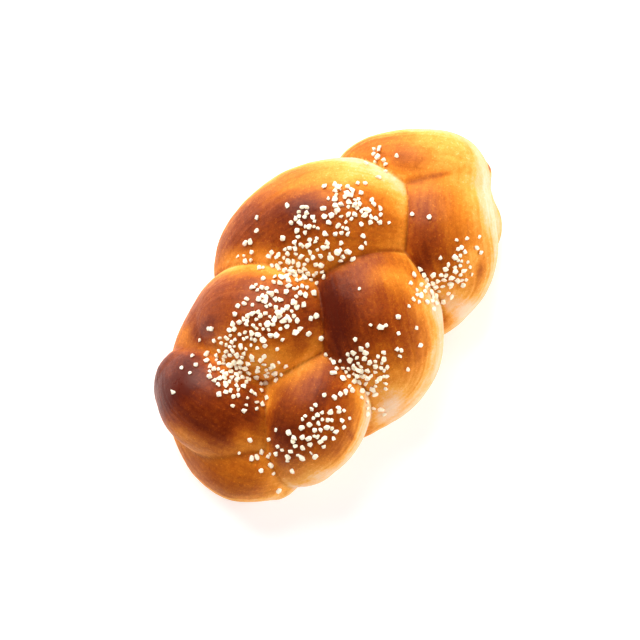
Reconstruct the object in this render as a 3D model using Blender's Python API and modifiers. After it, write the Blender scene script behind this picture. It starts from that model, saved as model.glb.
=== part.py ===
"""A plaited brioche bun: three ropes of dough, plaited, proofed and baked into one solid.

+X runs along the plait, from its first arch to its tapered end, and +Z is up. The bun rests on
its flat underside at z = 0, with the origin below the middle of its bounding box.
"""

import math
from collections import namedtuple

import bmesh
import bpy
import numpy as np

MM = 0.001

# An arch is the stretch of a rope that shows on top: it rises from a foot at the outer edge, crosses
# its crest and dives at the middle of the plait. x and y are the crest's place, heading the way the
# rope runs there in degrees from +X, foot and inner the run to either end, radius the rope's own,
# top the crest's height before the dough slumps, and bow how far the ends lie to the left of the crest.
# swing is how far the rope, under the others, swings along X and Y on its way to this arch's foot.
Arch = namedtuple("Arch", "x y heading foot inner radius top bow swing")

# In plaiting order, with every second one on the +Y side. A rope takes every third arch.
ARCHES = (
    Arch(-65.0, -10.5, 104, 10.0, 12.5, 17.0, 47.0, -2.5, (0.0, 0.0)),
    Arch(-55.4, 9.8, -78, 8.8, 20.0, 19.5, 57.0, 2.0, (0.0, 0.0)),
    Arch(-33.5, -21.0, 24, 12.0, 19.0, 21.3, 59.5, 3.0, (0.0, 0.0)),
    Arch(-17.5, 13.3, -42, 11.0, 20.0, 23.8, 62.0, -1.0, (-6.0, 5.0)),
    Arch(8.8, -15.0, 51, 16.5, 21.0, 25.9, 64.0, 1.0, (0.0, -7.5)),
    Arch(26.3, 16.4, -44, 21.3, 22.0, 26.0, 61.5, -5.5, (-3.0, 17.0)),
    Arch(47.7, -14.8, 42, 13.5, 18.5, 22.8, 56.0, -1.0, (1.0, -10.0)),
    Arch(62.7, 3.3, -55, 17.0, 9.0, 16.8, 48.0, -1.0, (0.0, 5.0)),
)
ROPES = 3
END_DROP = 8.0  # how far the centre line falls from an arch's crest to either of its ends
END_SHARE = 0.88  # the rope's radius there, as a share of its radius at the crest
UNDER_HEIGHT = 18.0  # the centre line's height where a rope passes under the plait
UNDER_RADIUS = 17.0
# The last rope's end tapers to a small point that shows past the last arch but one: x, y, z, radius.
TAIL = ((55.0, -22.0, 18.0, 15.0), (67.0, -13.8, 18.0, 9.3), (79.5, -14.2, 20.0, 2.4))
ROPE_STEPS = 10  # centre-line points from one way-point to the next
END_STEPS = 5  # and in the round end of a rope
SIDE_STEPS = 5  # the ropes' bevel resolution

# Proofed dough sags: each rope is repeated below itself, down to a share of its height and narrower
# with the square of the fall. Then the whole bun settles: what was h mm high ends up
# h * (SETTLE_LOW + SETTLE_RISE * h) high, so the lower dough is squeezed most.
SAG_COPIES = 6
SAG_LOWEST = 0.3
SAG_TAPER = 0.35
SETTLE_LOW = 0.59
SETTLE_RISE = 0.0032
# The round body inside, where the ropes have grown together: its half sides and its place along X.
CORE = (60.0, 27.0, 32.0)
CORE_X = 2.0

VOXEL = 1.5  # the grid on which the ropes merge into one skin
SMOOTHINGS = 4  # rounds of smoothing after that
TRIANGLES = 7600  # about what the skin above the tray is thinned to
TRAY = (260.0, 260.0, 60.0)  # sides of the block that cuts the flat underside


def clear_scene():
    for obj in list(bpy.data.objects):
        bpy.data.objects.remove(obj, do_unlink=True)


def new_collection(name):
    collection = bpy.data.collections.new(name)
    bpy.context.scene.collection.children.link(collection)
    return collection


def crust_material():
    material = bpy.data.materials.new("baked_crust")
    material.use_nodes = True
    shader = material.node_tree.nodes["Principled BSDF"]
    shader.inputs["Base Color"].default_value = (0.42, 0.13, 0.025, 1.0)
    shader.inputs["Roughness"].default_value = 0.42
    shader.inputs["Metallic"].default_value = 0.0
    material.diffuse_color = (0.65, 0.3, 0.1, 1.0)
    return material


def arch_points(arch):
    """Foot, crest and inner end of an arch, each as x, y, z and radius."""
    angle = math.radians(arch.heading)
    ahead = np.array((math.cos(angle), math.sin(angle)))
    left = np.array((-ahead[1], ahead[0]))
    crest = np.array((arch.x, arch.y))
    height = arch.top - arch.radius
    foot = crest - ahead * arch.foot + left * arch.bow
    inner = crest + ahead * arch.inner + left * arch.bow
    end_radius = arch.radius * END_SHARE
    return [
        (*foot, height - END_DROP, end_radius),
        (*crest, height, arch.radius),
        (*inner, height - END_DROP, end_radius),
    ]


def rope_way_points(number, whole):
    """The way-points of a rope, and of its small tapered point where the rope is whole."""
    points = []
    for arch in ARCHES[number::ROPES]:
        stretch = arch_points(arch)
        if points:
            x, y = (np.array(points[-1][:2]) + stretch[0][:2]) / 2 + arch.swing
            points.append((x, y, UNDER_HEIGHT, UNDER_RADIUS))
        points += stretch
    if number == ROPES - 1:
        points += TAIL if whole else TAIL[:-1]
    return np.array(points)


def smooth_route(points):
    """A Catmull-Rom curve through the way-points."""
    padded = np.vstack((2 * points[0] - points[1], points, 2 * points[-1] - points[-2]))
    route = []
    for before, start, end, after in zip(padded, padded[1:], padded[2:], padded[3:]):
        for t in np.arange(ROPE_STEPS) / ROPE_STEPS:
            bend = 2 * before - 5 * start + 4 * end - after
            twist = 3 * start - before - 3 * end + after
            route.append(start + ((end - before) * t + bend * t**2 + twist * t**3) / 2)
    route.append(points[-1])
    return np.array(route)


def round_end(point, neighbour):
    """Points that close a rope with a half ball, from the tip inwards."""
    outwards = point[:3] - neighbour[:3]
    outwards = outwards / np.linalg.norm(outwards)
    ball = []
    for step in range(END_STEPS):
        angle = math.pi / 2 * (1 - (step + 0.3) / END_STEPS)
        place = point[:3] + outwards * point[3] * math.sin(angle)
        ball.append((*place, point[3] * math.cos(angle)))
    return ball


def rope_mesh(number, level, collection):
    """A rope at a share of its height, as a mesh object with a round end on either side."""
    route = smooth_route(rope_way_points(number, level == 1.0))
    route[:, 2] *= level
    route[:, 3] *= 1 - SAG_TAPER * (1 - level) ** 2
    route = np.vstack((round_end(route[0], route[1]), route, round_end(route[-1], route[-2])[::-1]))

    name = f"rope_{number + 1}_sag_{round(100 * level)}"
    curve = bpy.data.curves.new(name, "CURVE")
    curve.dimensions = "3D"
    curve.bevel_depth = MM
    curve.bevel_resolution = SIDE_STEPS
    curve.use_fill_caps = True
    spline = curve.splines.new("POLY")
    spline.points.add(len(route) - 1)
    for point, (x, y, z, radius) in zip(spline.points, route):
        point.co = (x * MM, y * MM, z * MM, 1.0)
        point.radius = radius
    rope = bpy.data.objects.new(name, curve)
    collection.objects.link(rope)
    return curve_to_mesh(rope, collection)


def curve_to_mesh(rope, collection):
    graph = bpy.context.evaluated_depsgraph_get()
    mesh = bpy.data.meshes.new_from_object(rope.evaluated_get(graph))
    name, matrix = rope.name, rope.matrix_world.copy()
    bpy.data.objects.remove(rope, do_unlink=True)
    weld_caps(mesh)
    solid = bpy.data.objects.new(name, mesh)
    solid.matrix_world = matrix
    collection.objects.link(solid)
    return solid


def weld_caps(mesh):
    shape = bmesh.new()
    shape.from_mesh(mesh)
    bmesh.ops.remove_doubles(shape, verts=shape.verts, dist=0.01 * MM)
    bmesh.ops.recalc_face_normals(shape, faces=shape.faces)
    shape.to_mesh(mesh)
    shape.free()


def core_mesh(collection):
    mesh = bpy.data.meshes.new("core")
    shape = bmesh.new()
    bmesh.ops.create_icosphere(shape, subdivisions=4, radius=MM)
    bmesh.ops.scale(shape, vec=CORE, verts=shape.verts)
    bmesh.ops.translate(shape, vec=(CORE_X * MM, 0, 0), verts=shape.verts)
    shape.to_mesh(mesh)
    shape.free()
    core = bpy.data.objects.new("core", mesh)
    collection.objects.link(core)
    return core


def join_meshes(name, pieces, collection):
    """One object that holds the faces of all the pieces, which are removed."""
    joined = bmesh.new()
    for piece in pieces:
        joined.from_mesh(piece.data)
    for vertex in joined.verts:
        height = vertex.co.z / MM
        vertex.co.z *= SETTLE_LOW + SETTLE_RISE * max(height, 0)
    mesh = bpy.data.meshes.new(name)
    joined.to_mesh(mesh)
    joined.free()
    for piece in pieces:
        bpy.data.objects.remove(piece, do_unlink=True)
    obj = bpy.data.objects.new(name, mesh)
    collection.objects.link(obj)
    return obj


def merge_skin(bun):
    """Makes the overlapping ropes one closed skin, fine at first and then thinned."""
    remesh = bun.modifiers.new("merge_ropes", "REMESH")
    remesh.mode = "VOXEL"
    remesh.voxel_size = VOXEL * MM
    soften = bun.modifiers.new("soften_creases", "SMOOTH")
    soften.factor = 0.5
    soften.iterations = SMOOTHINGS
    bake_modifiers(bun)
    quads_above = sum(face.center.z > 0 for face in bun.data.polygons)
    thin = bun.modifiers.new("fewer_triangles", "DECIMATE")
    thin.ratio = min(1.0, TRIANGLES / (2 * quads_above))
    bake_modifiers(bun)


def bake_modifiers(obj):
    graph = bpy.context.evaluated_depsgraph_get()
    mesh = bpy.data.meshes.new_from_object(obj.evaluated_get(graph))
    mesh.name = obj.name
    obj.modifiers.clear()
    obj.data = mesh


def centre_on_origin(bun):
    xs = [vertex.co.x for vertex in bun.data.vertices]
    ys = [vertex.co.y for vertex in bun.data.vertices]
    middle = (-(min(xs) + max(xs)) / 2, -(min(ys) + max(ys)) / 2, 0)
    shape = bmesh.new()
    shape.from_mesh(bun.data)
    bmesh.ops.translate(shape, vec=middle, verts=shape.verts)
    shape.to_mesh(bun.data)
    shape.free()


def tray_cutter(collection):
    """The block whose top face, at z = 0, leaves the flat underside."""
    mesh = bpy.data.meshes.new("tray")
    shape = bmesh.new()
    bmesh.ops.create_cube(shape, size=1.0)
    bmesh.ops.scale(shape, vec=[side * MM for side in TRAY], verts=shape.verts)
    bmesh.ops.translate(shape, vec=(0, 0, -TRAY[2] / 2 * MM), verts=shape.verts)
    shape.to_mesh(mesh)
    shape.free()
    tray = bpy.data.objects.new("tray", mesh)
    tray.hide_render = True
    tray.display_type = "WIRE"
    collection.objects.link(tray)
    return tray


def main():
    clear_scene()
    bun_collection = new_collection("plaited_bun")
    cutters = new_collection("cutters")
    ropes = [
        rope_mesh(number, level, bun_collection)
        for number in range(ROPES)
        for level in np.linspace(1.0, SAG_LOWEST, SAG_COPIES)
    ]
    bun = join_meshes("bun", ropes + [core_mesh(bun_collection)], bun_collection)
    merge_skin(bun)
    centre_on_origin(bun)
    flatten = bun.modifiers.new("flat_underside", "BOOLEAN")
    flatten.operation = "DIFFERENCE"
    flatten.solver = "EXACT"
    flatten.object = tray_cutter(cutters)
    bun.data.materials.append(crust_material())
    bun.data.shade_smooth()


main()
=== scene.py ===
import math

import bmesh
import bpy
import numpy as np
from mathutils import Matrix, Vector, noise
from mathutils.bvhtree import BVHTree


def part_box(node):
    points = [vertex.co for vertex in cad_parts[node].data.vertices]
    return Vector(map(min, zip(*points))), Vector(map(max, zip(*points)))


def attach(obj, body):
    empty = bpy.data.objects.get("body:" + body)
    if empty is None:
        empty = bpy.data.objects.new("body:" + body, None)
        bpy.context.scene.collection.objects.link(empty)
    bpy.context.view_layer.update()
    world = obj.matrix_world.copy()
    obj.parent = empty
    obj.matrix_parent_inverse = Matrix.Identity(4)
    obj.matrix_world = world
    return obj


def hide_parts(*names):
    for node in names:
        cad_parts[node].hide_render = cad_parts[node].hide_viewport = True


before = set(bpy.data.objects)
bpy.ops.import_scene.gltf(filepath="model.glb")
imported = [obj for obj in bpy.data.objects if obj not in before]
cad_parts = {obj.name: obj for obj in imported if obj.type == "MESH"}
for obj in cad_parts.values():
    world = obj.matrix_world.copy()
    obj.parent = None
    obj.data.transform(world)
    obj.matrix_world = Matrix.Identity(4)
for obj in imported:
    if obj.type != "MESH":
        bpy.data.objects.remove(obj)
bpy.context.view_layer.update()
bunLow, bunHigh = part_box("bun")
mm = 0.001
print("frame loaded, the bun measures", [round(side / mm, 1) for side in bunHigh - bunLow], "mm")


# A socket in a node tree. Sums, differences and products of these add their own Math nodes.
class Wire:
    def __init__(self, tree, socket=None):
        self.tree = tree
        self.socket = socket

    def node(self, kind, settings=None, values=None, output=0):
        made = self.tree.nodes.new(kind)
        for name, setting in (settings or {}).items():
            if name == "stops":
                fillRamp(made.color_ramp, setting)
            else:
                setattr(made, name, setting)
        for name, value in (values or {}).items():
            if isinstance(value, Wire):
                self.tree.links.new(value.socket, made.inputs[name])
            else:
                made.inputs[name].default_value = value
        return Wire(self.tree, made.outputs[output] if made.outputs else None)

    def maths(self, operation, *values):
        return self.node("ShaderNodeMath", {"operation": operation}, dict(enumerate(values)))

    def __add__(self, other):
        return self.maths("ADD", self, other)

    def __radd__(self, other):
        return self.maths("ADD", other, self)

    def __sub__(self, other):
        return self.maths("SUBTRACT", self, other)

    def __rsub__(self, other):
        return self.maths("SUBTRACT", other, self)

    def __mul__(self, other):
        return self.maths("MULTIPLY", self, other)

    def __rmul__(self, other):
        return self.maths("MULTIPLY", other, self)

    # 0 where this is at start, 1 where it is at end, smooth in between
    def between(self, start, end):
        values = {"Value": self, "From Min": start, "From Max": end}
        return self.node("ShaderNodeMapRange", {"interpolation_type": "SMOOTHSTEP"}, values)

    # a Mix node names its sockets alike for every data type, so the colour ones go by number
    def mixed(self, share, other):
        return self.node("ShaderNodeMix", {"data_type": "RGBA"}, {0: share, 6: self, 7: other}, 2)

    # a soft random pattern of about this size, from 0 to 1
    def mottle(self, place, size, detail):
        values = {"Vector": place, "Scale": 1 / size, "Detail": detail, "Roughness": 0.55}
        return self.node("ShaderNodeTexNoise", values=values)

    # a pattern's ups and downs about its middle, this strong
    def swing(self, amount):
        return (self - 0.5) * amount

    # a value that the mesh holds at each of its points
    def stored(self, name):
        return self.node("ShaderNodeAttribute", {"attribute_name": name}, output="Fac")


def fillRamp(ramp, stops):
    while len(ramp.elements) < len(stops):
        ramp.elements.new(0.5)  # it gets its own place below
    for element, (place, colour) in zip(ramp.elements, stops):
        element.position = place
        element.color = (*colour, 1.0)


def newMaterial(name):
    material = bpy.data.materials.new(name)
    material.use_nodes = True
    material.node_tree.nodes.clear()
    return material, Wire(material.node_tree)


def newObject(name, data):
    obj = bpy.data.objects.new(name, data)
    bpy.context.scene.collection.objects.link(obj)
    return obj


def meshArray(mesh, what="co"):
    values = np.empty(len(mesh.vertices) * 3, np.float32)
    mesh.vertices.foreach_get(what, values)
    return values.reshape(-1, 3).astype(float)


def setPlaces(mesh, places):
    mesh.vertices.foreach_set("co", places.astype(np.float32).ravel())
    mesh.update()


def bakeModifiers(obj):
    graph = bpy.context.evaluated_depsgraph_get()
    mesh = bpy.data.meshes.new_from_object(obj.evaluated_get(graph))
    obj.modifiers.clear()
    obj.data = mesh


def relax(obj, rounds, group=""):
    smooth = obj.modifiers.new("relax", "SMOOTH")
    smooth.factor = 0.5
    smooth.iterations = rounds
    smooth.vertex_group = group
    bakeModifiers(obj)


def smoothStep(values, start, end):
    share = np.clip((values - start) / (end - start), 0, 1)
    return share * share * (3 - 2 * share)


# 1 in the middle of a patch given as x, y, half length, half width and heading, fading outwards
def softPatch(places, x, y, long, short, heading):
    angle = math.radians(heading)
    aside = places[:, 0] - x, places[:, 1] - y
    ahead = (aside[0] * math.cos(angle) + aside[1] * math.sin(angle)) / long
    across = (aside[1] * math.cos(angle) - aside[0] * math.sin(angle)) / short
    return np.exp(-(ahead**2 + across**2))


# Here and below, sizes are in mm and angles in degrees.
plait = {
    # An arch is the stretch of a rope that shows on top, and every third one is of the same rope.
    # Each row holds crest x, crest y, heading, run back to its foot, run on to its inner end,
    # radius, top, bow, and how far the rope swings along X and Y on its way to the foot.
    "arches": {
        "a": (-65.0, -10.5, 104, 10.0, 12.5, 17.0, 47.0, -2.5, (0.0, 0.0)),
        "b": (-55.4, 9.8, -78, 8.8, 20.0, 19.5, 57.0, 2.0, (0.0, 0.0)),
        "c": (-33.5, -21.0, 24, 12.0, 19.0, 21.3, 59.5, 3.0, (0.0, 0.0)),
        "d": (-17.5, 13.3, -42, 11.0, 20.0, 23.8, 62.0, -1.0, (-6.0, 5.0)),
        "e": (8.8, -15.0, 51, 16.5, 21.0, 25.9, 64.0, 1.0, (0.0, -7.5)),
        "f": (26.3, 16.4, -44, 21.3, 22.0, 26.0, 61.5, -5.5, (-3.0, 17.0)),
        "g": (47.7, -14.8, 42, 13.5, 18.5, 22.8, 56.0, -1.0, (1.0, -10.0)),
        "h": (62.7, 3.3, -55, 17.0, 9.0, 16.8, 48.0, -1.0, (0.0, 5.0)),
    },
    "ropes": 3,
    "endDrop": 8.0,  # how much lower than its crest an arch ends
    "endShare": 0.88,  # how thick an arch's ends are, as a share of its crest
    "underPass": (18.0, 17.0),  # height and radius where a rope runs under the others
    # x, y, height and radius along the tail
    "tail": ((55.0, -22.0, 18.0, 15.0), (67.0, -13.8, 18.0, 9.3), (79.5, -14.2, 20.0, 2.4)),
    "steps": 18,  # samples from one way-point to the next
    "laterShare": 0.8,  # of the way between two arches, how much counts as the later one
    "sagLowest": 0.3,  # a rope's sides hang down to this share of its height
    "sagTaper": 0.35,  # how much they draw in on the way down
    # dough laid h high settles to settleLow * h + settleRise * h * h
    "settleLow": 0.59,
    "settleRise": 0.0032,
    "core": (60.0, 27.0, 32.0),  # half length, width and height of the dough that fills the middle
    "coreX": 2.0,  # how far along X its middle lies
    "leastReach": 1e-3,  # these two keep the sums below from dividing by nothing
    "leastSize": 1e-6,
}
archNames = "".join(plait["arches"]) + "i"  # the tail goes by i


def archPoints(number):
    x, y, heading, footRun, innerRun, radius, top, bow, _ = plait["arches"][archNames[number]]
    angle = math.radians(heading)
    ahead = np.array((math.cos(angle), math.sin(angle)))
    left = np.array((-ahead[1], ahead[0]))
    foot = np.array((x, y)) - ahead * footRun + left * bow
    inner = np.array((x, y)) + ahead * innerRun + left * bow
    height = top - radius
    low, endRadius = height - plait["endDrop"], radius * plait["endShare"]
    return [(*foot, low, endRadius), (x, y, height, radius), (*inner, low, endRadius)]


# Way-points of one rope, each as x, y, height, radius, the lowest share of its height that it sags
# to, and its arch number, which runs from one of the rope's arches to its next.
radiusColumn, archColumn = 3, 5


def ropeWay(number):
    lowest = plait["sagLowest"]
    way = []
    for arch in range(number, len(plait["arches"]), plait["ropes"]):
        stretch = archPoints(arch)
        if way:
            swing = plait["arches"][archNames[arch]][-1]
            x, y = (np.array(way[-1][:2]) + stretch[0][:2]) / 2 + swing
            way.append((x, y, *plait["underPass"], lowest, arch - plait["ropes"] / 2))
        way += [(*point, lowest, arch) for point in stretch]
    if number == plait["ropes"] - 1:
        tail = zip(plait["tail"], (lowest, lowest, 1.0))
        way += [(*point, sag, len(plait["arches"])) for point, sag in tail]
    return np.array(way)


def smoothRoute(way):
    padded = np.vstack((2 * way[0] - way[1], way, 2 * way[-1] - way[-2]))
    share = (np.arange(plait["steps"]) / plait["steps"])[:, None]
    pieces = []
    for before, start, end, after in zip(padded, padded[1:], padded[2:], padded[3:]):
        bend = 2 * before - 5 * start + 4 * end - after
        twist = 3 * start - before - 3 * end + after
        pieces.append(start + ((end - before) * share + bend * share**2 + twist * share**3) / 2)
    return np.vstack(pieces + [way[-1:]])


ropes = [smoothRoute(ropeWay(number)) for number in range(plait["ropes"])]
outline = np.vstack(ropes)
outlineRadius = outline[:, radiusColumn, None]
lowEdge = (outline[:, :2] - outlineRadius).min(axis=0)
highEdge = (outline[:, :2] + outlineRadius).max(axis=0)
for rope in ropes:
    rope[:, :2] -= (lowEdge + highEdge) / 2
coreMiddle = np.array((plait["coreX"], 0.0, 0.0))
coreMiddle[:2] -= (lowEdge + highEdge) / 2
ropeLengths = [
    np.concatenate(([0.0], np.cumsum(np.linalg.norm(np.diff(rope[:, :3], axis=0), axis=1))))
    for rope in ropes
]
print("ropes laid:", [round(length[-1]) for length in ropeLengths], "mm long")

skin = {
    "voxel": 0.72,  # how far apart the mesh's points are
    "atOnce": 6000,  # points measured in one go
    "passes": 5,  # how often the points are moved towards the ropes
    "furthest": 1.2,  # how far they move each time, at most
    "leastSlope": 0.05,  # keeps a point from leaping where two slopes cancel out
    "blend": 0.9,  # over this width two ropes run into one another
    # where they have grown together: x, y, half length, half width, heading and how much wider
    "melted": ((75.0, -7.0, 13.0, 15.0, 0, 10.0),),
    "lineWidth": 0.55,  # of the line between two ropes
    "waver": (0.35, 7.0),  # how far, and over what length, the ropes' outlines wander
    "waverTurn": 2.1,  # how differently from its neighbour each rope wanders
    "waverMix": (1.7, 0.8, 1.3, 1.1),  # how its two waves cross
    "edgeRound": 1.8,  # where the flank turns under
    # where the crust has risen smooth: x, y, half length, half width and heading
    "risen": (
        (-40.0, 23.0, 8.0, 15.0, 20),
        (73.0, -4.0, 12.0, 14.0, 0),
        (0.0, -44.0, 18.0, 5.0, 5),
        (-50.0, -36.0, 12.0, 5.0, -25),
        (-67.0, 28.0, 9.0, 6.0, 45),
        (47.0, -38.0, 12.0, 5.0, 15),
        (-72.0, -12.0, 5.0, 14.0, 0),
    ),
    "risenStrength": 1.5,
    "risenLeast": 0.02,  # a smaller share of smoothing is left out
    "risenPasses": 60,
    "lumps": ((15.0, 0.42), (6.0, 0.14), (2.4, 0.05)),  # size and depth of the unevenness
    "strokes": (26.0, 1.3, 0.10),  # length along a rope, spacing across it and depth
    "strokeShift": 7.0,  # gives each rope strokes of its own
    "plainFoot": 6.0,  # lumps and strokes fade out below this height
    "sideLevel": 0.2,  # share of a rope's radius under which its side isn't followed further round
    "underLine": (1.6, 0.8),  # width and depth of the lines between the ropes on the underside
    "underLean": (0.8, 0.98),  # how far the skin faces down where they start and are in full
}

# For two neighbouring arches: depth of the line between them and how dark the shade painted into
# it is, then the width and the paleness of the golden band beside that line, on the first arch and
# on the second.
seams = {
    "ab": (0.3, 0.30, (2.5, 0.10), (6.0, 0.44)),
    "ac": (0.2, 0.2, (4.0, 0.30), (5.0, 0.30)),
    "bc": (0.3, 0.2, (4.0, 0.35), (3.0, 0.25)),
    "bd": (0.3, 0.3, (3.0, 0.30), (4.0, 0.20)),
    "cd": (0.4, 0.40, (5.0, 0.32), (6.0, 0.28)),
    "ce": (0.3, 0.3, (5.0, 0.35), (3.0, 0.25)),
    "de": (0.3, 0.2, (5.0, 0.18), (2.0, 0.05)),
    "df": (0.4, 0.5, (7.0, 0.50), (5.0, 0.45)),
    "ef": (0.6, 0.45, (3.0, 0.30), (4.0, 0.20)),
    "eg": (0.4, 0.4, (4.0, 0.25), (2.0, 0.05)),
    "fg": (0.6, 0.5, (4.0, 0.25), (2.0, 0.20)),
    "fh": (0.5, 0.5, (14.0, 0.70), (2.0, 0.20)),
    "gh": (0.5, 0.45, (5.0, 0.25), (5.0, 0.20)),
    "gi": (0.0, 0.0, (0.0, 0.0), (0.0, 0.0)),
    "hi": (0.0, 0.0, (0.0, 0.0), (0.0, 0.0)),
}
plainSeam = (0.3, 0.3, (3.0, 0.2), (3.0, 0.2))  # for any other two


def unsettled(z):
    low, rise = plait["settleLow"], plait["settleRise"]
    risen = (np.sqrt(low * low + 4 * rise * np.maximum(z, 0)) - low) / (2 * rise)
    return np.where(z > 0, risen, z / low)


# distance of each spot from every sample of a rope, and what its slope is made of
def sampleGaps(rope, spots):
    x, y, height, radius, lowest, _ = rope.astype(np.float32).T
    aside = spots[:, 0:1] - x, spots[:, 1:2] - y
    share = np.clip(spots[:, 2:3] / height, lowest, 1)
    up = spots[:, 2:3] - share * height
    reach = np.sqrt(aside[0] ** 2 + aside[1] ** 2 + up**2)
    sag = plait["sagTaper"] * (1 - share)
    gap = reach - radius * (1 - sag * (1 - share))
    lean = np.where((share < 1) & (up == 0), 2 * radius * sag / height, 0)
    return gap, reach, aside, up, lean


def inChunks(spots):
    return np.array_split(spots.astype(np.float32), max(1, len(spots) // skin["atOnce"]))


# distance of each spot from one rope, which sample is nearest, and the way out from it
def fromRope(rope, spots):
    distances, nearest, slopes = [], [], []
    for chunk in inChunks(spots):
        gap, reach, aside, up, lean = sampleGaps(rope, chunk)
        best = gap.argmin(axis=1)[:, None]
        gap, reach, east, north, up, lean = (
            np.take_along_axis(each, best, axis=1)[:, 0] for each in (gap, reach, *aside, up, lean)
        )
        length = np.maximum(reach, plait["leastReach"])
        distances.append(gap)
        nearest.append(best[:, 0])
        slopes.append(np.stack((east / length, north / length, up / length - lean), axis=1))
    return np.concatenate(distances), np.concatenate(nearest), np.concatenate(slopes)


def fromCore(spots):
    sides = np.array(plait["core"])
    place = spots - coreMiddle
    size = np.linalg.norm(place / sides, axis=1)
    slope = place / sides**2 / np.maximum(size, plait["leastSize"])[:, None]
    steep = np.linalg.norm(slope, axis=1)
    return (size - 1) / steep, slope / steep[:, None]


# a smooth unevenness of a rope's outline
def waver(spots, number):
    depth, length = skin["waver"]
    x, y, z = (spots / length).T
    turn = skin["waverTurn"] * number
    bend, cross, slant, climb = skin["waverMix"]
    sway = np.sin(x + bend * np.sin(cross * y + turn))
    return depth * (sway + np.sin(slant * y + climb * z + 2 * turn)) / 2


# one value of the seams' table, for arch numbers that lie side by side
def seamValue(pick, first, second):
    table = np.empty((len(archNames), len(archNames)))
    for i, one in enumerate(archNames):
        for j, other in enumerate(archNames):
            row = seams.get(one + other)
            if row is None:
                row = seams.get(other + one, plainSeam)
                row = (*row[:2], row[3], row[2])
            table[i, j] = pick(row)
    return table[first, second]


# the arch that each sample of a rope belongs to
def archAt(number, samples):
    own = np.arange(number, len(archNames), plait["ropes"])
    progress = (ropes[number][samples, archColumn] - number) / plait["ropes"]
    turns = np.floor(progress + plait["laterShare"]).astype(int)
    return own[np.clip(turns, 0, len(own) - 1)]


# the skin's distance from each spot, its slope, and where on the plait the spot lies
def plaitField(spots):
    raised = np.column_stack((spots[:, :2], unsettled(spots[:, 2])))
    found = [fromRope(rope, raised) for rope in ropes]
    distances = np.stack([each[0] + waver(raised, n) for n, each in enumerate(found)], axis=1)
    samples = np.stack([each[1] for each in found], axis=1)
    slopes = np.stack([each[2] for each in found], axis=1)
    arches = np.stack([archAt(n, samples[:, n]) for n in range(len(ropes))], axis=1)
    order = np.argsort(distances, axis=1)
    row = np.arange(len(spots))
    first, second = order[:, 0], order[:, 1]
    gap = distances[row, second] - distances[row, first]
    blend = np.full(len(spots), skin["blend"])
    for *patch, wider in skin["melted"]:
        blend += wider * softPatch(raised, *patch)
    merge = np.maximum(1 - gap / blend, 0)
    depth = seamValue(lambda seam: seam[0], arches[row, first], arches[row, second])
    depth *= skin["blend"] / blend
    skinDistance = distances[row, first] - merge**2 * blend / 4
    skinDistance = skinDistance + depth * np.exp(-((gap / skin["lineWidth"]) ** 2))
    shared = (merge / 2)[:, None]
    slope = slopes[row, first] * (1 - shared) + slopes[row, second] * shared
    coreDistance, coreSlope = fromCore(raised)
    inCore = coreDistance < skinDistance
    skinDistance = np.where(inCore, coreDistance, skinDistance)
    slope = np.where(inCore[:, None], coreSlope, slope)
    slope[:, 2] /= plait["settleLow"] + 2 * plait["settleRise"] * np.maximum(raised[:, 2], 0)
    facts = {
        "rope": first,
        "sample": samples[row, first],
        "arch": arches[row, first],
        "beside": arches[row, second],
        "gap": gap,
        "raised": raised,
    }
    return skinDistance, slope, facts


# moves the spots onto the skin, which rounds over into a flat underside
def onSkin(spots):
    edge, furthest = skin["edgeRound"], skin["furthest"]
    for _ in range(skin["passes"]):
        distance, slope, _ = plaitField(spots)
        under = -spots[:, 2]
        blend = np.clip(0.5 + (distance - under) / (2 * edge), 0, 1)
        joint = distance * blend + under * (1 - blend) + edge * blend * (1 - blend)
        way = slope * blend[:, None]
        way[:, 2] -= 1 - blend
        size = np.maximum((way**2).sum(axis=1), skin["leastSlope"])
        spots = spots - np.clip(joint / size, -furthest, furthest)[:, None] * way
    return spots


# how much further each spot is from every arch than from its own
def archGaps(raised):
    found = np.empty((len(raised), len(archNames)), np.float32)
    for number, rope in enumerate(ropes):
        own = archAt(number, np.arange(len(rope)))
        gaps = np.concatenate([sampleGaps(rope, chunk)[0] for chunk in inChunks(raised)])
        for arch in np.unique(own):
            found[:, arch] = gaps[:, own == arch].min(axis=1)
    return found - found.min(axis=1)[:, None]


# how far along its rope each spot lies, and how far round it from the crest
def ropeCourse(facts):
    along = np.zeros(len(facts["rope"]))
    around = np.zeros(len(facts["rope"]))
    for number, route in enumerate(ropes):
        here = facts["rope"] == number
        samples = facts["sample"][here]
        along[here] = ropeLengths[number][samples]
        heading = np.gradient(route[:, :2], axis=0)
        heading /= np.linalg.norm(heading, axis=1)[:, None]
        way = heading[samples]
        offset = facts["raised"][here] - route[samples, :3]
        aside = offset[:, 1] * way[:, 0] - offset[:, 0] * way[:, 1]
        radius = route[samples, radiusColumn]
        above = np.maximum(offset[:, 2], skin["sideLevel"] * radius)
        around[here] = np.arctan2(aside, above) * radius
        # between two samples the way along is worked out, or the strokes would show steps
        along[here] += (offset[:, :2] * way).sum(axis=1)
    return along, around


def noiseAt(places, size):
    return np.array([noise.noise(Vector(place)) for place in places / size])


# lumps, strokes along the ropes, and lines on the underside
def uneven(places, normals):
    _, _, facts = plaitField(places)
    along, around = ropeCourse(facts)
    total = sum(depth * noiseAt(places, size) for size, depth in skin["lumps"])
    length, spacing, depth = skin["strokes"]
    own = skin["strokeShift"] * facts["rope"]
    total += depth * noiseAt(np.column_stack((along / length, around / spacing, own)), 1.0)
    total *= np.clip(places[:, 2] / skin["plainFoot"], 0, 1)
    places = places + normals * total[:, None]
    places[:, 2] = np.maximum(places[:, 2], 0)
    width, depth = skin["underLine"]
    under = smoothStep(-normals[:, 2], *skin["underLean"]) * (facts["gap"] < 3 * width)
    places[:, 2] += under * depth * np.exp(-((facts["gap"] / width) ** 2))
    return places


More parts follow.
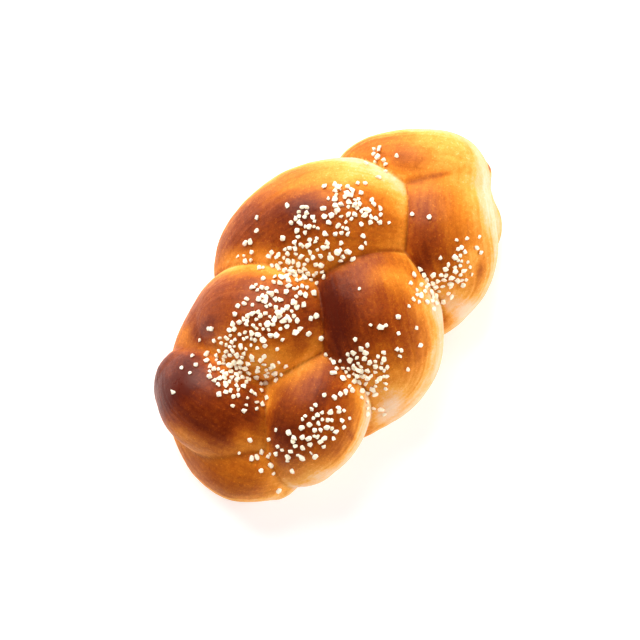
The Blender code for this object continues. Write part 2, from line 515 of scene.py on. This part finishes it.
# rounds off whatever folds there are inside the risen patches
def smoothRisen(bun):
    places = meshArray(bun.data) / mm
    share = sum(softPatch(places, *patch) for patch in skin["risen"])
    share = np.minimum(skin["risenStrength"] * share, 1)
    group = bun.vertex_groups.new(name="risen")
    for index in np.flatnonzero(share > skin["risenLeast"]):
        group.add([int(index)], share[index], "REPLACE")
    relax(bun, skin["risenPasses"], "risen")
    bun.vertex_groups.clear()


def buildBun():
    bun = newObject("baked_bun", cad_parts["bun"].data.copy())
    bun.data.materials.clear()
    remesh = bun.modifiers.new("fine", "REMESH")
    remesh.mode = "VOXEL"
    remesh.voxel_size = skin["voxel"] * mm
    bakeModifiers(bun)
    setPlaces(bun.data, onSkin(meshArray(bun.data) / mm) * mm)
    relax(bun, 1)
    smoothRisen(bun)
    places = uneven(meshArray(bun.data) / mm, meshArray(bun.data, "normal"))
    setPlaces(bun.data, places * mm)
    bun.data.shade_smooth()
    print("bun skin:", len(places), "points")
    return bun


bun = buildBun()
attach(bun, "root")
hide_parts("bun")


# how brown the crust is, from 0, pale dough, to 1, nearly black; it also carries painted shade in
# the creases and some painted light, marked below
tone = {
    # for each arch: how brown its back is, and how far its skin must face up to be half that brown
    "arches": {
        "a": (0.64, 0.42),
        "b": (0.92, 0.15),
        "c": (0.76, 0.45),
        "d": (0.78, 0.22),
        "e": (0.74, 0.45),
        "f": (0.76, 0.36),
        "g": (0.72, 0.45),
        "h": (0.58, 0.40),
        "i": (0.20, 0.30),
    },
    "turn": 0.30,  # over this change of lean the flank goes from pale to brown
    "paleAndLitWay": -52.0,  # the flank that faces this way is palest: partly it has browned least, partly it is painted light from that side
    "paleLean": 0.18,  # how much further up it must face to be brown
    "flank": 0.14,  # how brown the palest flank is
    # x, y, half length, half width, heading, and how much browner or paler; mostly the crust's own
    # browning, while some, marked, also hold painted light
    "patches": (
        (-1.0, -4.0, 16.0, 8.5, 52, 0.34),
        (8.0, 8.0, 7.0, 6.0, 50, 0.12),
        (6.0, -19.0, 8.0, 6.0, 0, 0.08),
        (-46.0, 9.0, 7.0, 8.0, 0, -0.15),
        (-28.0, -19.0, 7.0, 4.0, 20, 0.12),
        (26.0, -15.0, 17.0, 5.5, -75, -0.28),
        (-10.0, -35.0, 9.0, 9.0, 0, -0.32),
        (8.0, -42.0, 26.0, 9.0, 5, -0.19),
        (-22.0, -40.0, 9.0, 9.0, 0, -0.15),
        (-72.0, 12.0, 13.0, 4.0, 105, -0.40),
        (-57.0, -6.0, 5.0, 4.0, 0, -0.25),
        (-46.0, -17.0, 10.0, 7.0, 30, 0.14),
        (-52.0, -36.0, 14.0, 8.0, -30, -0.34),
        (-32.0, -38.0, 3.0, 1.3, 60, 0.20),
        (30.5, -35.0, 6.5, 10.0, 0, -0.36),
        (32.0, -19.0, 3.5, 6.0, -75, 0.20),
        (-15.0, -14.0, 4.0, 6.0, 0, 0.26),
        (-33.0, 0.0, 5.0, 4.0, 0, -0.22),
        (-32.0, 21.0, 5.0, 6.0, 0, -0.14),
        # pale foot, with painted light lifting the shade on the lower flank as well
        (32.0, -43.0, 5.0, 4.0, 0, -0.40),
        (40.0, 18.0, 5.0, 5.0, 0, 0.16),
        (58.0, 12.0, 5.0, 5.0, 0, 0.14),
        (-48.0, -6.0, 4.0, 4.0, 0, 0.12),
        (-17.0, -6.0, 12.0, 3.5, 10, -0.22),
        (-36.0, 30.0, 6.0, 4.0, 0, 0.14),
        (-58.0, 25.0, 7.0, 5.0, 0, 0.24),
        (23.0, -28.0, 5.0, 6.0, 0, -0.24),
        (48.0, -30.0, 6.0, 4.0, 0, -0.14),
        (-16.0, -30.0, 8.0, 4.0, 0, -0.14),
        (62.0, 8.0, 6.0, 6.0, 0, 0.12),
        (9.0, 15.0, 7.0, 8.0, 0, -0.22),
        (22.0, 30.0, 12.0, 5.0, -44, 0.22),
        (56.0, 6.5, 5.0, 1.0, -40, 0.20),
        (64.5, -1.0, 6.0, 1.0, -44, 0.20),
        (41.0, -12.0, 10.0, 8.0, 35, 0.12),
        (44.0, -33.0, 12.0, 6.0, 10, -0.22),
        (47.0, -36.5, 3.5, 1.3, 30, 0.25),
        (67.0, -22.0, 16.0, 12.0, 40, -0.38),
        (70.0, -8.0, 8.0, 8.0, 0, -0.14),
        (74.0, 8.0, 12.0, 5.0, 105, -0.22),
        (52.0, 15.0, 20.0, 5.0, -60, -0.25),
        # pale crust with a painted sheen on it
        (41.0, 23.0, 12.0, 7.0, -60, -0.34),
        (29.0, 38.0, 12.0, 4.5, -30, -0.20),
        (4.0, 40.0, 9.0, 5.0, 20, 0.10),
        (-8.0, 37.0, 5.0, 4.0, 0, -0.30),
        (-1.0, 29.0, 5.0, 6.0, 0, -0.20),
        (-41.0, 20.0, 5.0, 8.0, -20, -0.20),
        (-30.0, 6.0, 10.0, 6.0, -35, -0.44),
        (-41.0, -5.0, 5.0, 3.0, 20, -0.28),
        # golden crust with a painted sheen on it
        (-26.0, -7.0, 6.0, 4.0, -20, -0.14),
        # pale foot, with painted light lifting the shade on the lower flank as well
        (-15.0, -43.0, 7.0, 4.0, 0, -0.50),
        (-42.0, 36.0, 4.0, 3.5, 0, -0.25),
        (16.0, 28.0, 12.0, 9.0, -40, 0.10),
        (25.0, -1.0, 8.0, 5.0, -40, 0.24),
    ),
    "steepShare": 0.35,  # how much of a patch shows where the crust is steep
    "nib": (80.5, -15.0, 15.0, 1.5, 0.65),  # x, y, z, reach and how much browner the tail's tip is
    "foot": (26.0, 0.34),  # below this height the flank browns again, by this much at the bottom
    "thinnest": 0.1,  # width of a golden band, at least
    "creaseShadeBrowning": 0.25,  # painted shade: how much browner the crust is made in a crease
    "creaseWidth": 1.4,
    "seamShadeWidth": 0.6,  # of the line of painted shade in the crease
    "plainUnder": 0.8,  # how much fainter the painted crease shade is on the underside
    "underLean": (0.3, 0.8),  # how far the crust faces down where that starts and is in full
    "sheenLean": (0.35, 0.8),  # how far it faces up where the sheen starts and is in full
}


# keeps at each point of the bun what its crust's material needs
def storeFacts(bun):
    places = meshArray(bun.data) / mm
    normals = meshArray(bun.data, "normal")
    _, _, facts = plaitField(places)
    along, around = ropeCourse(facts)
    arch, beside, gap = facts["arch"], facts["beside"], facts["gap"]
    back = np.zeros(len(places))
    turn = np.zeros(len(places))
    for number, route in enumerate(ropes):
        here = facts["rope"] == number
        own = range(number, len(archNames), plait["ropes"])
        tones = [tone["arches"][archNames[each]] for each in own]
        progress = route[facts["sample"][here], archColumn]
        back[here], turn[here] = (np.interp(progress, own, column) for column in zip(*tones))
    # the flank facing this way is paler: partly less browned, partly painted light from that side
    angle = math.radians(tone["paleAndLitWay"])
    turn += tone["paleLean"] * (normals[:, 0] * math.cos(angle) + normals[:, 1] * math.sin(angle))
    facing = smoothStep(normals[:, 2], turn - tone["turn"], turn + tone["turn"])
    brown = tone["flank"] + (back - tone["flank"]) * facing
    steep = tone["steepShare"]
    for *patch, amount in tone["patches"]:
        brown += amount * softPatch(places, *patch) * (steep + (1 - steep) * facing)
    *nib, reach, amount = tone["nib"]
    brown += amount * np.exp(-(((places - nib) / reach) ** 2).sum(axis=1))
    for other, away in enumerate(archGaps(facts["raised"]).T):
        width = seamValue(lambda seam: seam[2][0], arch, other)
        paler = seamValue(lambda seam: seam[2][1], arch, other)
        paler = np.where((arch - other) % len(ropes) == 0, 0, paler)
        brown *= 1 - paler * np.exp(-((away / np.maximum(width, tone["thinnest"])) ** 2))
    # painted shade: a dark line and browner crust where two ropes meet
    creaseShade = seamValue(lambda seam: seam[1], arch, beside)
    creaseShade *= 1 - np.minimum(sum(softPatch(places, *patch[:-1]) for patch in skin["melted"]), 1)
    creaseShade *= 1 - tone["plainUnder"] * smoothStep(-normals[:, 2], *tone["underLean"])
    brown += tone["creaseShadeBrowning"] * creaseShade * np.exp(-((gap / tone["creaseWidth"]) ** 2))
    height, amount = tone["foot"]
    brown = np.maximum(brown, 0) + amount * (1 - smoothStep(places[:, 2], 0, height))
    stored = {
        "brown": brown,
        # the painted shade line in the creases
        "seam": creaseShade * np.exp(-((gap / tone["seamShadeWidth"]) ** 2)),
        "sheen": smoothStep(normals[:, 2], *tone["sheenLean"]) * np.clip(brown, 0, 1),
        "along": along,
        "around": around,
    }
    for name, values in stored.items():
        layer = bun.data.attributes.new(name, "FLOAT", "POINT")
        layer.data.foreach_set("value", values.astype(np.float32))


storeFacts(bun)
print("browning stored")

crust = {
    # how brown, and the colour of crust that is as brown as that
    "ramp": (
        (0.00, (0.89, 0.60, 0.39)),
        (0.14, (0.89, 0.50, 0.23)),
        (0.28, (0.88, 0.38, 0.062)),
        (0.44, (0.71, 0.222, 0.018)),
        (0.60, (0.48, 0.118, 0.007)),
        (0.75, (0.29, 0.050, 0.004)),
        (0.88, (0.165, 0.021, 0.002)),
        (1.00, (0.085, 0.007, 0.001)),
    ),
    "seam": (0.25, 0.048, 0.005),  # colour of the painted shade line in a crease
    # size, detail and strength of the patterns that make the crust browner and paler
    "clouds": (9.0, 3, 0.26),
    "grain": (1.6, 4, 0.20),
    "pores": (0.5, 3, 0.20),
    "strokes": (1.0, 3, 0.22),
    "strokeScale": (0.04, 0.42),  # strokes to the mm along a rope and round it
    "blisters": (0.9, 1),  # size and detail
    "blisterRange": (0.64, 0.72),  # only the pattern's highest spots are blisters
    "blisterPale": 0.10,
    "relief": (0.3, 0.5, 0.5),  # shares of pores, grain and strokes
    "reliefDepth": 0.3,
    "reliefStrength": 0.6,
    "roughness": (0.70, 0.34),  # of pale and of brown crust
    "roughnessSwing": 0.2,  # how much the grain changes it
    "glow": 0.3,  # share of the light that wanders through the crumb before it leaves
    "glowReach": (1.0, 0.35, 0.12),  # how far red, green and blue wander, as shares of the next
    "glowScale": 3.0,
    "coat": 0.12,  # sheen of the egg wash where brown crust faces up
    "coatRoughness": 0.5,
    "shine": 1.26,  # index of refraction
    "shineTint": (1.0, 0.76, 0.62),
}


def crustMaterial():
    material, tree = newMaterial("egg_washed_crust")
    place = tree.node("ShaderNodeTexCoord", output="Object")
    lengthwise, crosswise = crust["strokeScale"]
    along, around = tree.stored("along") * lengthwise, tree.stored("around") * crosswise
    course = tree.node("ShaderNodeCombineXYZ", values={0: along, 1: around})
    patterns, tinted = {}, tree.stored("brown")
    for name in ("clouds", "grain", "strokes", "pores"):
        size, detail, strength = crust[name]
        where, unit = (course, 1) if name == "strokes" else (place, mm)
        patterns[name] = tree.mottle(where, size * unit, detail)
        tinted = tinted + patterns[name].swing(strength)
    size, detail = crust["blisters"]
    blisters = tree.mottle(place, size * mm, detail).between(*crust["blisterRange"])
    tinted = tinted - blisters * crust["blisterPale"]
    colour = tree.node("ShaderNodeValToRGB", {"stops": crust["ramp"]}, {"Fac": tinted})
    # paints the shade line into the creases
    colour = colour.mixed(tree.stored("seam"), (*crust["seam"], 1.0))
    matt, shiny = crust["roughness"]
    roughness = matt + (shiny - matt) * tree.stored("brown")
    pores, grain, strokes = crust["relief"]
    relief = patterns["pores"] * pores + patterns["grain"] * grain + patterns["strokes"] * strokes
    bump = {
        "Height": relief,
        "Distance": crust["reliefDepth"] * mm,
        "Strength": crust["reliefStrength"],
    }
    values = {
        "Base Color": colour,
        "Roughness": roughness + patterns["grain"].swing(crust["roughnessSwing"]),
        "Normal": tree.node("ShaderNodeBump", values=bump),
        "Coat Weight": crust["coat"] * tree.stored("sheen"),
        "Coat Roughness": crust["coatRoughness"],
        "IOR": crust["shine"],
        "Specular Tint": (*crust["shineTint"], 1.0),
        "Subsurface Weight": crust["glow"],
        "Subsurface Radius": crust["glowReach"],
        "Subsurface Scale": crust["glowScale"] * mm,
    }
    shader = tree.node("ShaderNodeBsdfPrincipled", values=values)
    tree.node("ShaderNodeOutputMaterial", values={"Surface": shader})
    return material


bun.data.materials.append(crustMaterial())

sugar = {
    "seed": 11,
    "size": (0.80, 1.38),  # half the length of a grain
    "corners": 11,
    "cornerTurn": 2.4,  # the corners wind round the grain by this angle in radians
    "cornerReach": 0.85,  # and from this far below its middle to this far above
    "uneven": 0.38,  # how far the corners stray from an even spread
    "worn": 0.09,  # width of the worn edges, as a share of half the length
    # least and greatest length, width and height, as shares of the size
    "stretch": ((0.90, 0.80, 0.65), (1.28, 1.12, 0.90)),
    "middle": 0.6,  # how high a grain's middle is over its lowest point, as a share of its size
    "sunk": 0.2,  # share of a grain's height that sits in the crust
    "scatter": 0.55,  # how far the grains of a patch stray, as a share of its half length
    "furthest": 1.2,  # and how far they stray at most
    "steepest": 0.35,  # grains roll off crust that faces up less than this
    "dropFrom": 20.0,  # height over the bun's top
    "apart": 0.78,  # how near two grains of one layer come, as a share of their sizes
    "piled": 0.08,  # share of the grains that may lie on others
    "pileApart": 0.8,  # how much nearer those may come
    "pileStep": 0.5,  # how much higher each layer of a pile is, as a share of the size
    "layers": 4,
    "tries": 12,  # how often a grain looks for a free place in its patch
    "strayTries": 3,
    "strayReach": 0.5,
    "frost": (0.7, 3),  # size and detail of the cloudy spots in the crystals
    "tints": ((0.3, (0.93, 0.79, 0.54)), (0.7, (0.98, 0.91, 0.73))),
    "frostDepth": 0.2,
    "frostStrength": 0.5,
    "roughness": 0.5,
    "shine": 1.5,
    "glow": 0.05,  # painted light: the crystals give off a little light of their own
    "paintedLightTint": (1.0, 0.93, 0.80),
    # x, y, half length, half width, heading and grains of each patch of sugar
    "patches": (
        (-43.5, 10.0, 6.0, 11.5, -5, 62),
        (-34.0, 15.0, 7.0, 9.0, 0, 20),
        (-17.0, 15.0, 15.0, 9.5, -8, 104),
        (4.0, 18.0, 8.0, 9.0, 0, 56),
        (22.0, 17.0, 9.0, 11.0, 0, 46),
        (35.0, 16.0, 7.5, 9.0, -12, 46),
        (-1.0, 37.0, 6.0, 3.5, 10, 9),
        (20.0, 28.0, 4.0, 4.0, 0, 7),
        (55.0, 20.0, 5.0, 6.0, 0, 12),
        (-40.0, -25.5, 14.0, 5.5, -5, 48),
        (-21.0, -24.0, 5.0, 6.0, 0, 7),
        (-10.0, -26.0, 7.0, 8.5, 0, 52),
        (7.0, -27.0, 10.0, 9.0, 0, 14),
        (30.0, -26.0, 6.5, 7.0, 0, 32),
        (43.0, -28.0, 8.0, 5.5, 0, 32),
        (-58.0, -17.0, 6.0, 7.0, 0, 13),
        (-33.0, 2.0, 6.0, 4.0, 0, 15),
        (-15.0, -16.0, 3.0, 6.0, 0, 6),
        (-19.0, -37.0, 4.0, 6.0, 0, 5),
    ),
    "strays": (
        (-61, 25), (-52, 28), (-52, 24), (-46, 27), (-40, 29), (-34, 29), (-5, 28), (10, 41),
        (20, 35), (34, 29), (-12, -1), (-11, -5), (-5, 1), (13, -5), (39, 2), (47, -3),
        (50, -9), (56, -28), (-48, -14), (-66, -29),
    ),
}


# a crystal lump with flat faces and worn edges: the hull of points spread over a ball
def grainShape(dice):
    level = np.linspace(-sugar["cornerReach"], sugar["cornerReach"], sugar["corners"])
    turn = sugar["cornerTurn"] * np.arange(sugar["corners"])
    flat = np.sqrt(1 - level**2)
    spread = np.column_stack((flat * np.cos(turn), flat * np.sin(turn), level))
    spread += dice.normal(0, sugar["uneven"], spread.shape)
    lump = bmesh.new()
    for place in spread:
        lump.verts.new(place / np.linalg.norm(place))
    bmesh.ops.convex_hull(lump, input=lump.verts)
    bmesh.ops.bevel(
        lump,
        geom=lump.edges[:],
        offset=sugar["worn"],
        segments=1,
        affect="EDGES",
        clamp_overlap=True,
    )
    lump.verts.index_update()
    points = np.array([vertex.co for vertex in lump.verts])
    faces = [[vertex.index for vertex in face.verts] for face in lump.faces]
    lump.free()
    return points * dice.uniform(*sugar["stretch"]), faces


# a random place in a patch given as x, y, half length, half width and heading
def dropIn(patch, dice):
    x, y, long, short, heading = patch
    angle = math.radians(heading)
    furthest = sugar["furthest"]
    drift = np.clip(dice.normal(0, sugar["scatter"], 2), -furthest, furthest)
    ahead, across = drift * (long, short)
    return (
        x + ahead * math.cos(angle) - across * math.sin(angle),
        y + ahead * math.sin(angle) + across * math.cos(angle),
    )


# sets one grain down on the crust, or on another grain if it may, and gives its middle and upright
def settle(x, y, size, surface, placed, piling):
    start = Vector((x * mm, y * mm, bunHigh.z + sugar["dropFrom"] * mm))
    hit, normal, _, _ = surface.ray_cast(start, Vector((0, 0, -1)))
    if hit is None or normal.z < sugar["steepest"]:
        return None
    lift = size * sugar["middle"] * (1 - sugar["sunk"])
    apart = sugar["apart"] * (sugar["pileApart"] if piling else 1.0)
    for _ in range(sugar["layers"] if piling else 1):
        centre = np.array(hit) / mm + np.array(normal) * lift
        gaps = [np.linalg.norm(middle - centre) / (other + size) for middle, other in placed]
        if min(gaps, default=apart) >= apart:
            return centre, normal
        lift += sugar["pileStep"] * size
    return None


def buildSugar(bun):
    dice = np.random.default_rng(sugar["seed"])
    surface = BVHTree.FromObject(bun, bpy.context.evaluated_depsgraph_get())
    patches = [(*patch, count, sugar["tries"]) for *patch, count in sugar["patches"]]
    reach = sugar["strayReach"]
    patches += [(x, y, reach, reach, 0, 1, sugar["strayTries"]) for x, y in sugar["strays"]]
    placed, points, faces = [], [], []
    for *patch, count, tries in patches:
        wanted = len(placed) + count
        for _ in range(count * tries):
            if len(placed) == wanted:
                break
            size = dice.uniform(*sugar["size"])
            piling = dice.uniform() < sugar["piled"]
            spot = settle(*dropIn(patch, dice), size, surface, placed, piling)
            if spot is None:
                continue
            centre, normal = spot
            placed.append((centre, size))
            turn = Vector((0, 0, 1)).rotation_difference(normal).to_matrix()
            spin = Matrix.Rotation(dice.uniform(0, 2 * math.pi), 3, "Z")
            shape, sides = grainShape(dice)
            start = sum(len(each) for each in points)
            faces += [[start + corner for corner in side] for side in sides]
            points.append(size * shape @ np.array(turn @ spin).T + centre)
    mesh = bpy.data.meshes.new("pearl_sugar")
    mesh.from_pydata((np.vstack(points) * mm).tolist(), [], faces)
    mesh.update()
    grains = newObject("pearl_sugar", mesh)
    print("sugar:", len(points), "grains")
    return grains


def sugarMaterial():
    material, tree = newMaterial("pearl_sugar")
    place = tree.node("ShaderNodeTexCoord", output="Object")
    size, detail = sugar["frost"]
    frost = tree.mottle(place, size * mm, detail)
    colour = tree.node("ShaderNodeValToRGB", {"stops": sugar["tints"]}, {"Fac": frost})
    bump = {
        "Height": frost,
        "Distance": sugar["frostDepth"] * mm,
        "Strength": sugar["frostStrength"],
    }
    values = {
        "Base Color": colour,
        "Roughness": sugar["roughness"],
        "Normal": tree.node("ShaderNodeBump", values=bump),
        "IOR": sugar["shine"],
        # painted light: the grains glow a little
        "Emission Color": (*sugar["paintedLightTint"], 1.0),
        "Emission Strength": sugar["glow"],
    }
    shader = tree.node("ShaderNodeBsdfPrincipled", values=values)
    tree.node("ShaderNodeOutputMaterial", values={"Surface": shader})
    return material


grains = buildSugar(bun)
grains.data.materials.append(sugarMaterial())
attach(grains, "root")


view = {
    "lean": -51.1,  # turns the camera so that the plait climbs to the right
    "lens": 150.0,
    "width": 242.9,  # mm that the camera takes in from side to side, at the height of the waist
    "waist": 25.0,  # where the bun is widest
    "aside": (-2.6, -4.95),  # where the camera points, to the right of the bun's middle and up
    "sight": 20.0,  # metres
}


def addCamera():
    data = bpy.data.cameras.new("camera")
    data.lens = view["lens"]
    data.clip_end = view["sight"]
    camera = newObject("camera", data)
    lean = math.radians(view["lean"])
    right = np.array((math.cos(lean), math.sin(lean)))
    up = np.array((-math.sin(lean), math.cos(lean)))
    middle = view["aside"][0] * right + view["aside"][1] * up
    height = view["waist"] + view["width"] * data.lens / data.sensor_width
    camera.location = (middle[0] * mm, middle[1] * mm, height * mm)
    camera.rotation_euler = (0, 0, lean)
    bpy.context.scene.camera = camera


studio = {
    # bearing from +X and height above the floor, distance and width in metres, power in watts,
    # and whether the crust mirrors it
    "lights": {
        "key": (60.0, 36, 1.3, 1.3, 32.5, True),
        "side": (-51.0, 25, 1.4, 1.2, 16.0, False),
        "fill": (-160.0, 40, 1.6, 1.0, 8.0, False),
    },
    "horizon": 0.35,  # how bright the walls are
    "overhead": 0.03,  # and the ceiling
    "wallEnds": (0.15, 0.75),  # heights where the walls start to darken and the ceiling starts
    "backdrop": 0.9,  # how bright the surroundings look to the camera
    "floor": 0.9,
    "floorRoughness": 0.8,
    "floorGlow": 0.35,
    "floorSize": 3.0,  # metres from the middle to each side
}


def addLights():
    for name, (bearing, height, distance, width, power, mirrored) in studio["lights"].items():
        data = bpy.data.lights.new(name, "AREA")
        data.shape = "DISK"
        data.size = width
        data.energy = power
        light = newObject(name, data)
        light.visible_glossy = mirrored
        turn, rise = math.radians(bearing), math.radians(height)
        level = math.cos(rise)
        place = Vector((level * math.cos(turn), level * math.sin(turn), math.sin(rise)))
        light.location = place * distance
        light.rotation_euler = place.to_track_quat("Z", "Y").to_euler()


# the walls of the studio are pale, and its ceiling dark, so that the crust isn't veiled from above
def addWorld():
    world = bpy.data.worlds.new("studio")
    bpy.context.scene.world = world
    world.use_nodes = True
    world.node_tree.nodes.clear()
    tree = Wire(world.node_tree)
    direction = tree.node("ShaderNodeTexCoord", output="Generated")
    height = tree.node("ShaderNodeSeparateXYZ", values={0: direction}, output=2)
    low, high = studio["horizon"], studio["overhead"]
    strength = low + (high - low) * height.between(*studio["wallEnds"])
    seen = tree.node("ShaderNodeLightPath")
    strength = seen * studio["backdrop"] + (1 - seen) * strength
    glow = tree.node("ShaderNodeBackground", values={"Strength": strength, "Color": (1, 1, 1, 1)})
    tree.node("ShaderNodeOutputWorld", values={"Surface": glow})


def addFloor():
    mesh = bpy.data.meshes.new("floor")
    shape = bmesh.new()
    bmesh.ops.create_grid(shape, x_segments=1, y_segments=1, size=studio["floorSize"])
    shape.to_mesh(mesh)
    shape.free()
    floor = newObject("floor", mesh)
    material, tree = newMaterial("pale_floor")
    values = {
        "Base Color": (studio["floor"],) * 3 + (1.0,),
        "Roughness": studio["floorRoughness"],
        "Specular IOR Level": 0.0,
        "Emission Color": (1, 1, 1, 1),
        "Emission Strength": studio["floorGlow"],
    }
    shader = tree.node("ShaderNodeBsdfPrincipled", values=values)
    tree.node("ShaderNodeOutputMaterial", values={"Surface": shader})
    floor.data.materials.append(material)


addCamera()
addLights()
addWorld()
addFloor()
bpy.context.scene.view_settings.view_transform = "Standard"
print("studio ready")
